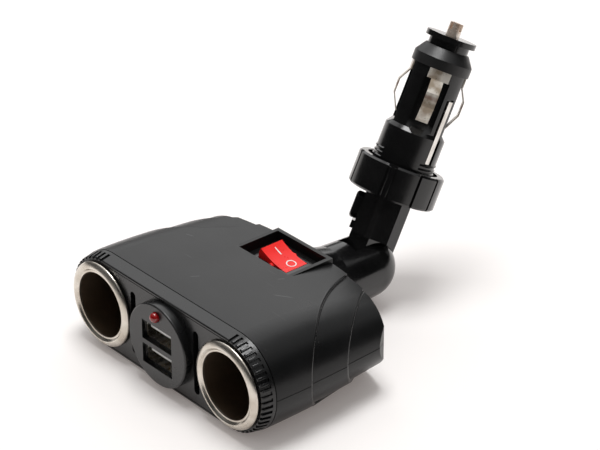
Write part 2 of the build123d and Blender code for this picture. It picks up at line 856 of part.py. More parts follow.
with BuildPart() as arm:
    with BuildSketch(plug_plane(shoulder_start)):
        with BuildLine():
            Polyline(*arm_corners, close=True)
        make_face()
    extrude(amount=barrel_start - shoulder_start)
    with BuildSketch(plug_plane(barrel_start)):
        Circle(arm_spigot_radius)
    extrude(amount=arm_spigot_length)
    with BuildSketch(Plane(origin=pivot, x_dir=back, z_dir=across)):
        Circle(knuckle_radius)
        with Locations((0, (shoulder_start + half_arm) / 2)):
            Rectangle(2 * knuckle_radius, shoulder_start + half_arm)
    extrude(amount=slot_width / 2 - tongue_fit, both=True)
    with BuildSketch(Plane(origin=pivot, x_dir=back, z_dir=across)):
        Circle(pin_diameter / 2 + pin_fit)
    extrude(amount=slot_width, both=True, mode=Mode.SUBTRACT)
    with BuildSketch(button_plane(0)):
        with Locations((arm_stud_start + arm_stud_length / 2 - button_middle, 0)):
            Rectangle(arm_stud_length, button_width)
    extrude(amount=arm_stud_proud)
    with BuildSketch(button_plane(0)):
        SlotOverall(button_length + 2 * button_fit, button_width + 2 * button_fit)
    extrude(amount=-(button_seat + button_travel + button_fit), mode=Mode.SUBTRACT)
arm.part.label = "arm"
export_step(arm.part, "parts/arm.step")

with BuildPart() as release_button:
    with BuildSketch(button_plane(-button_seat)):
        SlotOverall(button_length, button_width)
    extrude(amount=button_seat + button_proud)
    fillet(release_button.faces().sort_by(Axis(button_origin, button_out))[-1].edges(), button_round)
release_button.part.label = "release_button"
export_step(release_button.part, "parts/release_button.step")

# Lock ring: gripped band round a threaded hub
with BuildPart() as lock_ring:
    with BuildSketch(plug_section):
        with BuildLine():
            Polyline(
                (sleeve_radius + ring_fit, ring_hub_start),
                (ring_radius - ring_band, ring_hub_start),
                (ring_radius - ring_band, ring_start),
                (ring_radius - ring_round, ring_start),
                (ring_radius, ring_start + ring_round),
                (ring_radius, ring_end - ring_round),
                (ring_radius - ring_round, ring_end),
                (ring_radius - ring_band, ring_end),
                (ring_radius - ring_band, ring_hub_end),
                (sleeve_radius + ring_fit, ring_hub_end),
                close=True,
            )
        make_face()
    revolve(axis=plug_axis)
    notches = [(angle, ring_notch_width) for angle in ring_notch_angles] + [(ring_thumb_angle, ring_thumb_width)]
    for angle, width in notches:
        for turn in (angle, angle + 180):
            with BuildSketch(plug_side(turn)):
                with Locations((ring_radius, (ring_start + ring_end) / 2)):
                    Rectangle(2 * ring_notch_depth, 2 * (ring_end - ring_start))
            extrude(amount=width / 2, both=True, mode=Mode.SUBTRACT)
lock_ring.part.label = "lock_ring"
export_step(lock_ring.part, "parts/lock_ring.step")

# Plug barrel: threaded sleeve below, four contact slots above, fuse bore inside
leaf_angles = {"front_right": 45, "front_left": 135, "rear_left": 225, "rear_right": 315}
tip_flange_top = cap_flange_end - cap_lip
fuse_end = tip_flange_top - tip_flange
fuse_start = fuse_end - fuse_length
spring_seat = fuse_start - spring_length
leaf_seat_start = barrel_end - leaf_seat_length
with BuildPart() as plug_barrel:
    with BuildSketch(plug_section):
        with BuildLine():
            Polyline(
                (fuse_radius + fuse_fit, barrel_end + crown_length),
                (fuse_radius + fuse_fit, spring_seat),
                (0, spring_seat),
                (0, barrel_start + arm_spigot_length + spigot_fit),
                (arm_spigot_radius + spigot_fit, barrel_start + arm_spigot_length + spigot_fit),
                (arm_spigot_radius + spigot_fit, barrel_start),
                (sleeve_radius, barrel_start),
                (sleeve_radius, sleeve_end - sleeve_round),
                (barrel_radius, sleeve_end),
                (barrel_radius, barrel_end),
                (crown_radius, barrel_end),
                (crown_radius, barrel_end + crown_length),
                close=True,
            )
        make_face()
    revolve(axis=plug_axis)
    for angle in leaf_angles.values():
        with BuildSketch(plug_side(angle)):
            with BuildLine():
                Polyline(
                    (leaf_slot_floor, leaf_slot_start),
                    (leaf_slot_floor, leaf_seat_start),
                    (crown_radius, leaf_seat_start),
                    (crown_radius, barrel_end + crown_length),
                    (2 * sleeve_radius, barrel_end + crown_length),
                    (2 * sleeve_radius, leaf_slot_start - 2 * sleeve_radius + leaf_slot_floor),
                    close=True,
                )
            make_face()
        extrude(amount=leaf_slot_width / 2, both=True, mode=Mode.SUBTRACT)
    for angle in (0, 180):
        with BuildSketch(plug_side(angle)):
            with Locations((strip_floor, strip_start - groove_margin)):
                Rectangle(
                    sleeve_radius,
                    strip_end - strip_start + 2 * groove_margin,
                    align=(Align.MIN, Align.MIN),
                )
        extrude(amount=strip_groove / 2, both=True, mode=Mode.SUBTRACT)
plug_barrel.part.label = "plug_barrel"
export_step(plug_barrel.part, "parts/plug_barrel.step")

# Side strips of the plug, let into its flanks
with BuildPart() as contact_strips:
    for angle in (0, 180):
        with BuildSketch(plug_side(angle)):
            with Locations((strip_floor, strip_start)):
                Rectangle(strip_thickness, strip_end - strip_start, align=(Align.MIN, Align.MIN))
        extrude(amount=strip_width / 2, both=True)
contact_strips.part.label = "contact_strips"
export_step(contact_strips.part, "parts/contact_strips.step")

# Sprung side contacts: T-shaped leaves held at the head, bowed out of their slots
leaf_out = barrel_radius + leaf_bulge
leaf_knee = leaf_seat_start - leaf_shoulder
leaf_waist = leaf_tip + leaf_foot
for name, angle in leaf_angles.items():
    with BuildPart() as side_contact:
        with BuildSketch(plug_side(angle)):
            with BuildLine():
                Polyline(
                    (crown_radius, barrel_end + crown_length),
                    (crown_radius, leaf_seat_start),
                    (leaf_out - leaf_thickness, leaf_knee),
                    (leaf_out - leaf_thickness, leaf_waist),
                    (leaf_tip_radius - leaf_thickness, leaf_tip),
                    (leaf_tip_radius, leaf_tip),
                    (leaf_out, leaf_waist),
                    (leaf_out, leaf_knee),
                    (crown_radius + leaf_thickness, leaf_seat_start),
                    (crown_radius + leaf_thickness, barrel_end + crown_length),
                    close=True,
                )
            make_face()
        extrude(amount=leaf_stem_width / 2, both=True)
        with BuildSketch(plug_side(angle)):
            with Locations((crown_radius, leaf_seat_start)):
                Rectangle(leaf_thickness, leaf_seat_length, align=(Align.MIN, Align.MIN))
        extrude(amount=leaf_head_width / 2, both=True)
    side_contact.part.label = name + "_contact"
    export_step(side_contact.part, "parts/" + name + "_contact.step")

# Nose ring, which clamps the heads of the side contacts
head_reach = math.hypot(crown_radius + leaf_thickness, leaf_stem_width / 2) + ring_fit
with BuildPart() as nose_ring:
    with BuildSketch(plug_section):
        with BuildLine():
            Polyline(
                (nose_bore, barrel_end + crown_length),
                (head_reach, barrel_end + crown_length),
                (head_reach, barrel_end),
                (nose_radius, barrel_end),
                (nose_radius, barrel_end + nose_band),
                (nose_tip_radius, nose_end),
                (nose_bore, nose_end),
                close=True,
            )
        make_face()
    revolve(axis=plug_axis)
nose_ring.part.label = "nose_ring"
export_step(nose_ring.part, "parts/nose_ring.step")

# Fuse cap: flanged end that unscrews from the nose ring
with BuildPart() as fuse_cap:
    with BuildSketch(plug_section):
        with BuildLine():
            Polyline(
                (fuse_radius + fuse_fit, barrel_end + crown_length),
                (nose_bore - nose_fit, barrel_end + crown_length),
                (nose_bore - nose_fit, nose_end),
                (cap_neck_radius, nose_end),
                (cap_neck_radius, cap_flange_start),
                (cap_flange_radius, cap_flange_start),
                (cap_flange_radius, cap_flange_end),
                (tip_radius + tip_fit, cap_flange_end),
                (tip_radius + tip_fit, tip_flange_top),
                (fuse_radius + fuse_fit, tip_flange_top),
                close=True,
            )
        make_face()
    revolve(axis=plug_axis)
fuse_cap.part.label = "fuse_cap"
export_step(fuse_cap.part, "parts/fuse_cap.step")

# Tip contact: crown with a cross cut, standing on the fuse
with BuildPart() as tip_contact:
    with BuildSketch(plug_section):
        with BuildLine():
            Polyline(
                (0, fuse_end),
                (tip_flange_radius, fuse_end),
                (tip_flange_radius, tip_flange_top),
                (tip_radius, tip_flange_top),
                (tip_radius, tip_end),
                (0, tip_end),
                close=True,
            )
        make_face()
    revolve(axis=plug_axis)
    with BuildSketch(plug_plane(tip_end)):
        Rectangle(tip_cross, 4 * tip_radius)
        Rectangle(4 * tip_radius, tip_cross)
    extrude(amount=-tip_cross_depth, mode=Mode.SUBTRACT)
tip_contact.part.label = "tip_contact"
export_step(tip_contact.part, "parts/tip_contact.step")

# Glass fuse with its two end caps, and the spring that pushes it to the tip
with BuildPart() as fuse:
    with BuildSketch(plug_section):
        with BuildLine():
            Polyline(
                (0, fuse_start),
                (fuse_radius, fuse_start),
                (fuse_radius, fuse_start + fuse_cap_length),
                (fuse_radius - fuse_glass_step, fuse_start + fuse_cap_length),
                (fuse_radius - fuse_glass_step, fuse_end - fuse_cap_length),
                (fuse_radius, fuse_end - fuse_cap_length),
                (fuse_radius, fuse_end),
                (0, fuse_end),
                close=True,
            )
        make_face()
    revolve(axis=plug_axis)
fuse.part.label = "fuse"
export_step(fuse.part, "parts/fuse.step")

coil_height = spring_length - 2 * spring_lift
coil_start = pivot + along * (spring_seat + spring_lift)
with BuildPart() as fuse_spring:
    with BuildLine() as coil:
        Helix(coil_height / spring_turns, coil_height, spring_radius, center=coil_start, direction=along)
    with BuildSketch(Plane(origin=coil.line @ 0, z_dir=coil.line % 0)):
        Circle(spring_wire / 2)
    sweep()
fuse_spring.part.label = "fuse_spring"
export_step(fuse_spring.part, "parts/fuse_spring.step")
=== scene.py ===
# Car power splitter with twin sockets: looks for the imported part
import math
import bpy
from mathutils import Matrix, Vector


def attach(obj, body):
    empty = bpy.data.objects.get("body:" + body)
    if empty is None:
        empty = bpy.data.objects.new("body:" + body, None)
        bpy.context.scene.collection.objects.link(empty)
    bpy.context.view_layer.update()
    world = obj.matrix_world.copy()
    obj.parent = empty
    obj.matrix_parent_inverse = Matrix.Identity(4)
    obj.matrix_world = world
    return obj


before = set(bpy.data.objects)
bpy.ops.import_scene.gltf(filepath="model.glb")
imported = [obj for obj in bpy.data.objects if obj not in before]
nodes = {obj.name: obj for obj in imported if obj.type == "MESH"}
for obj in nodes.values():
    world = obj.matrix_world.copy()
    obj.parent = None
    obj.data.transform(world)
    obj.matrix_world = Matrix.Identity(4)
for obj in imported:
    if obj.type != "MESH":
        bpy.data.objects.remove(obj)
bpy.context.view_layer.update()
scene = bpy.context.scene
print("frame loaded:", len(nodes), "nodes")

# places shared by several pieces, in metres
layout = {
    "socketX": 0.02937,
    "axisZ": 0.0155,
    "pivot": Vector((0.0, 0.0492, 0.0120)),
    "lean": math.radians(28.0),
}
along = Vector((0.0, math.sin(layout["lean"]), math.cos(layout["lean"])))
across = Vector((1.0, 0.0, 0.0))
backward = Vector((0.0, math.cos(layout["lean"]), -math.sin(layout["lean"])))


def deselectAll():
    if bpy.context.mode != "OBJECT":
        bpy.ops.object.mode_set(mode="OBJECT")
    bpy.ops.object.select_all(action="DESELECT")


def makeActive(piece):
    deselectAll()
    piece.select_set(True)
    bpy.context.view_layer.objects.active = piece


def applyPlace(piece):
    makeActive(piece)
    bpy.ops.object.transform_apply(location=True, rotation=True, scale=True)


def applyModifiers(piece):
    makeActive(piece)
    for name in [m.name for m in piece.modifiers]:
        bpy.ops.object.modifier_apply(modifier=name)


def smoothByAngle(piece, degrees):
    makeActive(piece)
    bpy.ops.object.shade_smooth_by_angle(angle=math.radians(degrees))


def placeMatrix(xSide, ySide, zSide, spot):
    rows = [[xSide[i], ySide[i], zSide[i], spot[i]] for i in range(3)]
    return Matrix(rows + [[0.0, 0.0, 0.0, 1.0]])


def plugTurn(t, turn):
    # local X points out of the plug, local Z along it
    out = across * math.cos(turn) - backward * math.sin(turn)
    return placeMatrix(out, along.cross(out), along, layout["pivot"] + along * t)


# Material building blocks
def startFinish(name):
    finish = bpy.data.materials.new(name)
    finish.use_nodes = True
    tree = finish.node_tree
    tree.nodes.clear()
    out = tree.nodes.new("ShaderNodeOutputMaterial")
    shader = tree.nodes.new("ShaderNodeBsdfPrincipled")
    tree.links.new(shader.outputs["BSDF"], out.inputs["Surface"])
    place = tree.nodes.new("ShaderNodeTexCoord")
    return finish, tree, shader, place.outputs["Object"]


def addNoise(tree, coords, scale, detail=3.0, stretch=None, turn=(0.0, 0.0, 0.0)):
    if stretch:
        mapping = tree.nodes.new("ShaderNodeMapping")
        mapping.inputs["Scale"].default_value = stretch
        mapping.inputs["Rotation"].default_value = turn
        tree.links.new(coords, mapping.inputs["Vector"])
        coords = mapping.outputs["Vector"]
    noise = tree.nodes.new("ShaderNodeTexNoise")
    noise.inputs["Scale"].default_value = scale
    noise.inputs["Detail"].default_value = detail
    tree.links.new(coords, noise.inputs["Vector"])
    return noise.outputs["Fac"]


def addRamp(tree, factor, stops):
    ramp = tree.nodes.new("ShaderNodeValToRGB")
    while len(ramp.color_ramp.elements) < len(stops):
        ramp.color_ramp.elements.new(0.5)
    for element, (position, colour) in zip(ramp.color_ramp.elements, stops):
        element.position = position
        element.color = (*colour, 1.0)
    tree.links.new(factor, ramp.inputs["Fac"])
    return ramp.outputs["Color"]


def addSpan(tree, factor, low, high, fromLow=0.3, fromHigh=0.7):
    span = tree.nodes.new("ShaderNodeMapRange")
    span.inputs["From Min"].default_value = fromLow
    span.inputs["From Max"].default_value = fromHigh
    span.inputs["To Min"].default_value = low
    span.inputs["To Max"].default_value = high
    tree.links.new(factor, span.inputs["Value"])
    return span.outputs["Result"]


def addBump(tree, shader, height, distance, strength=1.0):
    bump = tree.nodes.new("ShaderNodeBump")
    bump.inputs["Distance"].default_value = distance
    bump.inputs["Strength"].default_value = strength
    tree.links.new(height, bump.inputs["Height"])
    tree.links.new(bump.outputs["Normal"], shader.inputs["Normal"])


def addMath(tree, operation, first, second):
    node = tree.nodes.new("ShaderNodeMath")
    node.operation = operation
    for socket, value in zip(node.inputs, (first, second)):
        if isinstance(value, (int, float)):
            socket.default_value = value
        else:
            tree.links.new(value, socket)
    return node.outputs["Value"]


def addMix(tree, factor, first, second):
    mix = tree.nodes.new("ShaderNodeMix")
    mix.data_type = "RGBA"
    tree.links.new(factor, mix.inputs["Factor"])
    for socket, value in ((mix.inputs["A"], first), (mix.inputs["B"], second)):
        if isinstance(value, tuple):
            socket.default_value = (*value, 1.0)
        else:
            tree.links.new(value, socket)
    return mix.outputs["Result"]


def addScratch(tree, coords, spot, turn, half, values):
    # 1 along a short line on the top, 0 elsewhere
    width = values["scratchWidth"]
    mapping = tree.nodes.new("ShaderNodeMapping")
    mapping.vector_type = "TEXTURE"
    mapping.inputs["Location"].default_value = (spot[0], spot[1], 0.0)
    mapping.inputs["Rotation"].default_value = (0.0, 0.0, math.radians(turn))
    tree.links.new(coords, mapping.inputs["Vector"])
    split = tree.nodes.new("ShaderNodeSeparateXYZ")
    tree.links.new(mapping.outputs["Vector"], split.inputs["Vector"])
    run = addMath(tree, "ABSOLUTE", split.outputs["X"], 0.0)
    off = addMath(tree, "ABSOLUTE", split.outputs["Y"], 0.0)
    onRun = addSpan(tree, run, 1.0, 0.0, half * 0.6, half)
    onLine = addSpan(tree, off, 1.0, 0.0, width * 0.4, width)
    upper = addSpan(tree, split.outputs["Z"], 0.0, 1.0, *values["scratchHeight"])
    return addMath(tree, "MULTIPLY", addMath(tree, "MULTIPLY", onRun, onLine), upper)


# Moulded plastics
housingPlastic = {
    "dark": (0.0052, 0.0053, 0.0055), "light": (0.0078, 0.0079, 0.0082),
    "rough": (0.27, 0.35), "grain": 2400.0, "grainHeight": 0.000016,
    "cloud": 55.0, "scuff": (0.075, 0.075, 0.076), "gloss": 0.28,
    "scratches": (((-0.0035, -0.0135), 60.0, 0.0017), ((0.0205, -0.0005), 38.0, 0.0032),
                  ((-0.0255, 0.0020), 20.0, 0.0015), ((0.0120, 0.0060), 65.0, 0.0012)),
    "scratchWidth": 0.00016, "scratchHeight": (0.024, 0.026),
    "streak": (60.0, 1500.0, 1500.0), "streakTurn": 0.62, "streakSpan": (0.0, 0.55, 0.73, 0.80),
}
bezelPlastic = dict(housingPlastic, gloss=0.52, rough=(0.22, 0.30), scratches=())


def makeHousingPlastic(name, values):
    finish, tree, shader, coords = startFinish(name)
    cloud = addNoise(tree, coords, values["cloud"], 4.0)
    colour = addRamp(tree, cloud, [(0.3, values["dark"]), (0.7, values["light"])])
    streak = addNoise(tree, coords, 1.0, 2.0, values["streak"], (0.0, 0.0, values["streakTurn"]))
    scuff = addSpan(tree, streak, *values["streakSpan"])
    for spot, turn, half in values["scratches"]:
        scuff = addMath(tree, "MAXIMUM", scuff, addScratch(tree, coords, spot, turn, half, values))
    tree.links.new(addMix(tree, scuff, colour, values["scuff"]), shader.inputs["Base Color"])
    tree.links.new(addSpan(tree, cloud, *values["rough"]), shader.inputs["Roughness"])
    shader.inputs["Specular IOR Level"].default_value = values["gloss"]
    addBump(tree, shader, addNoise(tree, coords, values["grain"], 2.0), values["grainHeight"])
    return finish


glossPlastic = {
    "dark": (0.0035, 0.0035, 0.0037), "light": (0.0056, 0.0056, 0.0058),
    "rough": (0.13, 0.22), "ripple": 420.0, "rippleHeight": 0.000012, "cloud": 130.0, "gloss": 0.58,
}
wornPlastic = dict(glossPlastic, rough=(0.34, 0.50))


def makeGlossPlastic(name, values):
    finish, tree, shader, coords = startFinish(name)
    cloud = addNoise(tree, coords, values["cloud"], 4.0)
    colour = addRamp(tree, cloud, [(0.32, values["dark"]), (0.7, values["light"])])
    tree.links.new(colour, shader.inputs["Base Color"])
    tree.links.new(addSpan(tree, cloud, *values["rough"]), shader.inputs["Roughness"])
    shader.inputs["Specular IOR Level"].default_value = values["gloss"]
    addBump(tree, shader, addNoise(tree, coords, values["ripple"], 3.0), values["rippleHeight"])
    return finish


rockerRed = {
    "dark": (0.84, 0.014, 0.012), "light": (0.90, 0.020, 0.016),
    "rough": (0.24, 0.34), "grain": 1600.0, "grainHeight": 0.000012, "gloss": 0.28, "cloud": 240.0,
}


def makeRockerRed(name, values):
    finish, tree, shader, coords = startFinish(name)
    cloud = addNoise(tree, coords, values["cloud"], 3.0)
    colour = addRamp(tree, cloud, [(0.3, values["dark"]), (0.7, values["light"])])
    tree.links.new(colour, shader.inputs["Base Color"])
    tree.links.new(addSpan(tree, cloud, *values["rough"]), shader.inputs["Roughness"])
    shader.inputs["Specular IOR Level"].default_value = values["gloss"]
    addBump(tree, shader, addNoise(tree, coords, values["grain"], 2.0), values["grainHeight"])
    return finish


ledLens = {
    "dark": (0.16, 0.002, 0.003), "light": (0.34, 0.006, 0.006), "rough": (0.05, 0.12), "cloud": 700.0,
    "coat": 0.6, "coatRough": 0.04, "grain": 1800.0, "grainHeight": 0.000004,
}


def makeLedLens(name, values):
    finish, tree, shader, coords = startFinish(name)
    cloud = addNoise(tree, coords, values["cloud"], 2.0)
    colour = addRamp(tree, cloud, [(0.3, values["dark"]), (0.7, values["light"])])
    tree.links.new(colour, shader.inputs["Base Color"])
    tree.links.new(addSpan(tree, cloud, *values["rough"]), shader.inputs["Roughness"])
    shader.inputs["Coat Weight"].default_value = values["coat"]
    shader.inputs["Coat Roughness"].default_value = values["coatRough"]
    addBump(tree, shader, addNoise(tree, coords, values["grain"], 2.0), values["grainHeight"])
    return finish


markWhite = {
    "dark": (0.72, 0.70, 0.68), "light": (0.86, 0.85, 0.83), "rough": (0.35, 0.5),
    "cloud": 900.0, "grainHeight": 0.000004,
}
palePlastic = {
    "dark": (0.55, 0.55, 0.53), "light": (0.68, 0.68, 0.66), "rough": (0.35, 0.48),
    "cloud": 500.0, "grainHeight": 0.000006,
}
insulatorBrown = {
    "dark": (0.030, 0.018, 0.010), "light": (0.060, 0.036, 0.020), "rough": (0.5, 0.7),
    "cloud": 600.0, "grainHeight": 0.00001,
}
coilBlack = {
    "dark": (0.012, 0.012, 0.012), "light": (0.05, 0.05, 0.052), "rough": (0.55, 0.75),
    "cloud": 900.0, "grainHeight": 0.00002,
}
boardGreen = {
    "dark": (0.010, 0.080, 0.030), "light": (0.020, 0.130, 0.050), "rough": (0.3, 0.45),
    "cloud": 420.0, "grainHeight": 0.00001,
}


def makeSpeckled(name, values):
    finish, tree, shader, coords = startFinish(name)
    cloud = addNoise(tree, coords, values["cloud"], 4.0)
    colour = addRamp(tree, cloud, [(0.3, values["dark"]), (0.7, values["light"])])
    tree.links.new(colour, shader.inputs["Base Color"])
    tree.links.new(addSpan(tree, cloud, *values["rough"]), shader.inputs["Roughness"])
    addBump(tree, shader, addNoise(tree, coords, values["cloud"] * 4.0, 2.0), values["grainHeight"])
    return finish


# Metals
# the bore colour is painted shade for the inside of the socket
socketPlate = {
    "bright": (0.72, 0.675, 0.605), "worn": (0.54, 0.485, 0.415), "bore": (0.20, 0.145, 0.10),
    "rough": (0.24, 0.36), "brush": (90.0, 2200.0, 90.0), "boreRadius": 0.01042, "boreStart": -0.0297,
    "boreEdge": 0.00012, "boreFade": 0.0012, "boreRough": 0.22, "cloud": 160.0, "brushHeight": 0.000006,
}


def makeSocketPlate(name, values):
    # plated rim with its bore painted dark as shade inside the socket: the bore is told from the rim by its
    # distance from the socket's axis
    finish, tree, shader, coords = startFinish(name)
    split = tree.nodes.new("ShaderNodeSeparateXYZ")
    tree.links.new(coords, split.inputs["Vector"])
    fromMiddle = addMath(tree, "ABSOLUTE", split.outputs["X"], 0.0)
    sideways = addMath(tree, "SUBTRACT", fromMiddle, layout["socketX"])
    upward = addMath(tree, "SUBTRACT", split.outputs["Z"], layout["axisZ"])
    square = addMath(tree, "ADD", addMath(tree, "MULTIPLY", sideways, sideways),
                     addMath(tree, "MULTIPLY", upward, upward))
    radius = addMath(tree, "SQRT", square, 0.0)
    inside = addSpan(tree, radius, 1.0, 0.0, values["boreRadius"], values["boreRadius"] + values["boreEdge"])
    start = values["boreStart"]
    deep = addSpan(tree, split.outputs["Y"], 0.0, 1.0, start, start + values["boreFade"])
    # painted shade mask: 1 inside the bore, past a set depth behind the rim
    bore = addMath(tree, "MULTIPLY", inside, deep)
    cloud = addNoise(tree, coords, values["cloud"], 5.0)
    plate = addRamp(tree, cloud, [(0.35, values["worn"]), (0.6, values["bright"])])
    tree.links.new(addMix(tree, bore, plate, values["bore"]), shader.inputs["Base Color"])
    brushed = addNoise(tree, coords, 1.0, 3.0, values["brush"])
    rough = addSpan(tree, brushed, *values["rough"])
    boreRough = addMath(tree, "MULTIPLY", bore, values["boreRough"])
    tree.links.new(addMath(tree, "ADD", rough, boreRough), shader.inputs["Roughness"])
    shader.inputs["Metallic"].default_value = 1.0
    addBump(tree, shader, brushed, values["brushHeight"])
    return finish


nickelPlate = {
    "bright": (0.76, 0.735, 0.70), "worn": (0.58, 0.55, 0.51), "rough": (0.14, 0.28), "brush": 1500.0,
}
agedNickel = {
    "bright": (0.78, 0.73, 0.655), "worn": (0.38, 0.31, 0.235), "rough": (0.26, 0.44), "brush": 1500.0,
    "metal": 0.55, "band": 0.0568, "bandHalf": 0.0010, "rub": (0.20, 0.085, 0.05),
}
copperTip = {
    "bright": (0.86, 0.77, 0.69), "worn": (0.60, 0.44, 0.33), "rough": (0.16, 0.30), "brush": 1500.0,
    "metal": 0.6,
}
brassGold = {
    "bright": (0.80, 0.60, 0.26), "worn": (0.58, 0.40, 0.16), "rough": (0.18, 0.32), "brush": 1800.0,
}
zincSteel = {
    "bright": (0.56, 0.56, 0.57), "worn": (0.36, 0.36, 0.37), "rough": (0.26, 0.42), "brush": 1600.0,
}
drawnCan = {
    "bright": (0.66, 0.66, 0.68), "worn": (0.50, 0.50, 0.52), "rough": (0.28, 0.4), "brush": 1800.0,
}


metalGrain = {"cloud": 260.0, "brushHeight": 0.000006}


def makeMetal(name, values):
    finish, tree, shader, coords = startFinish(name)
    cloud = addNoise(tree, coords, metalGrain["cloud"], 5.0)
    colour = addRamp(tree, cloud, [(0.36, values["worn"]), (0.58, values["bright"])])
    if "band" in values:
        # rubbed brown where the leaf meets the socket
        reach = tree.nodes.new("ShaderNodeVectorMath")
        reach.operation = "DOT_PRODUCT"
        reach.inputs[1].default_value = along
        tree.links.new(coords, reach.inputs[0])
        middle = along.dot(layout["pivot"]) + values["band"]
        off = addMath(tree, "ABSOLUTE", addMath(tree, "SUBTRACT", reach.outputs["Value"], middle), 0.0)
        near = addSpan(tree, off, 0.9, 0.0, values["bandHalf"] * 0.3, values["bandHalf"])
        rubbed = addMath(tree, "MULTIPLY", near, addSpan(tree, cloud, 1.0, 0.4))
        colour = addMix(tree, rubbed, colour, values["rub"])
    tree.links.new(colour, shader.inputs["Base Color"])
    brushed = addNoise(tree, coords, values["brush"], 3.0)
    tree.links.new(addSpan(tree, brushed, *values["rough"]), shader.inputs["Roughness"])
    shader.inputs["Metallic"].default_value = values.get("metal", 1.0)
    addBump(tree, shader, brushed, metalGrain["brushHeight"])
    return finish


fuseGlass = {
    "tint": (0.80, 0.84, 0.83), "rough": (0.03, 0.09), "cloud": 300.0,
    "clear": 0.85, "ior": 1.5, "height": 0.000004,
}


def makeFuseGlass(name, values):
    finish, tree, shader, coords = startFinish(name)
    cloud = addNoise(tree, coords, values["cloud"], 2.0)
    tree.links.new(addSpan(tree, cloud, *values["rough"]), shader.inputs["Roughness"])
    shader.inputs["Base Color"].default_value = (*values["tint"], 1.0)
    shader.inputs["Transmission Weight"].default_value = values["clear"]
    shader.inputs["IOR"].default_value = values["ior"]
    addBump(tree, shader, cloud, values["height"])
    return finish


finishes = {
    "housing": makeHousingPlastic("housingPlastic", housingPlastic),
    "bezel": makeHousingPlastic("bezelPlastic", bezelPlastic),
    "gloss": makeGlossPlastic("glossPlastic", glossPlastic),
    "worn": makeGlossPlastic("wornPlastic", wornPlastic),
    "red": makeRockerRed("rockerRed", rockerRed),
    "led": makeLedLens("ledLens", ledLens),
    "mark": makeSpeckled("markWhite", markWhite),
    "pale": makeSpeckled("palePlastic", palePlastic),
    "insulator": makeSpeckled("insulatorBrown", insulatorBrown),
    "coil": makeSpeckled("coilBlack", coilBlack),
    "board": makeSpeckled("boardGreen", boardGreen),
    "socket": makeSocketPlate("socketPlate", socketPlate),
    "nickel": makeMetal("nickelPlate", nickelPlate),
    "aged": makeMetal("agedNickel", agedNickel),
    "tip": makeMetal("copperTip", copperTip),
    "brass": makeMetal("brassGold", brassGold),
    "steel": makeMetal("zincSteel", zincSteel),
    "can": makeMetal("drawnCan", drawnCan),
    "glass": makeFuseGlass("fuseGlass", fuseGlass),
}
wears = {
    "housing": ["upper_housing", "lower_housing"],
    "bezel": ["front_bezel", "usb_faceplate"],
    "gloss": ["elbow", "arm", "plug_barrel", "lock_ring", "fuse_cap", "release_button", "switch_body"],
    "worn": ["nose_ring"],
    "red": ["rocker"],
    "led": ["power_led"],
    "pale": ["upper_usb_tongue", "lower_usb_tongue"],
    "insulator": ["left_socket_insulator", "right_socket_insulator", "port_spacer"],
    "coil": ["inductor"],
    "board": ["usb_board"],
    "socket": ["left_socket_shell", "right_socket_shell"],
    "nickel": ["contact_strips", "upper_usb_port", "lower_usb_port"],
    "aged": ["front_right_contact", "front_left_contact", "rear_left_contact", "rear_right_contact"],
    "tip": ["tip_contact"],
    "brass": ["left_centre_contact", "right_centre_contact", "usb_contacts", "switch_terminals"],
    "steel": ["housing_screws", "hinge_pin", "fuse_spring"],
    "can": ["capacitors"],
    "glass": ["fuse"],
}


def dress(piece, finish):
    piece.data.materials.clear()
    piece.data.materials.append(finishes[finish])


for finish, names in wears.items():
    for name in names:
        dress(nodes[name], finish)
print("finishes set on", sum(len(names) for names in wears.values()), "nodes")

# Marks printed on the rocker
rockerMarks = {
    "lineCentre": (-0.0024, 0.0172), "lineSize": (0.0029, 0.00040),
    "ringCentre": (0.00365, 0.01715), "ringRadius": 0.00160, "ringWidth": 0.00034,
    "lineCuts": (14, 4), "ringPoints": 56, "smooth": 40,
    "above": 0.034, "offset": 0.00003, "thickness": 0.00006,
}


def layOnRocker(piece, values):
    wrap = piece.modifiers.new("layOn", "SHRINKWRAP")
    wrap.target = nodes["rocker"]
    wrap.wrap_method = "PROJECT"
    wrap.use_project_z = True
    wrap.use_negative_direction = True
    wrap.use_positive_direction = False
    wrap.offset = values["offset"]
    thick = piece.modifiers.new("thick", "SOLIDIFY")
    thick.thickness = values["thickness"]
    thick.offset = 0.0
    applyModifiers(piece)
    smoothByAngle(piece, values["smooth"])
    dress(piece, "mark")
    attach(piece, "switch_rocker")


def makeRockerLine(values):
    deselectAll()
    x, y = values["lineCentre"]
    xCuts, yCuts = values["lineCuts"]
    bpy.ops.mesh.primitive_grid_add(x_subdivisions=xCuts, y_subdivisions=yCuts, size=1.0,
                                    location=(x, y, values["above"]))
    piece = bpy.context.object
    piece.name = "rocker_on_mark"
    piece.scale = (values["lineSize"][0], values["lineSize"][1], 1.0)
    applyPlace(piece)
    layOnRocker(piece, values)


def makeRockerRing(values):
    deselectAll()
    x, y = values["ringCentre"]
    bpy.ops.mesh.primitive_circle_add(vertices=values["ringPoints"], radius=values["ringRadius"],
                                      fill_type="NGON", location=(x, y, values["above"]))
    piece = bpy.context.object
    piece.name = "rocker_off_mark"
    applyPlace(piece)
    bpy.ops.object.mode_set(mode="EDIT")
    bpy.ops.mesh.select_all(action="SELECT")
    bpy.ops.mesh.inset(thickness=values["ringWidth"])
    bpy.ops.mesh.delete(type="FACE")
    bpy.ops.object.mode_set(mode="OBJECT")
    layOnRocker(piece, values)


makeRockerLine(rockerMarks)
makeRockerRing(rockerMarks)
print("rocker marks laid on")

# Rounded bars between the grooves of the bezel's round ends
bezelBars = {
    "count": 23, "pitch": 7.7, "width": 0.86, "height": 0.46, "round": 0.20,
    "frontY": -0.0278, "length": 0.0031, "frontRadius": 14.62, "rearRadius": 15.18, "proud": 0.10,
    "smooth": 40,
}


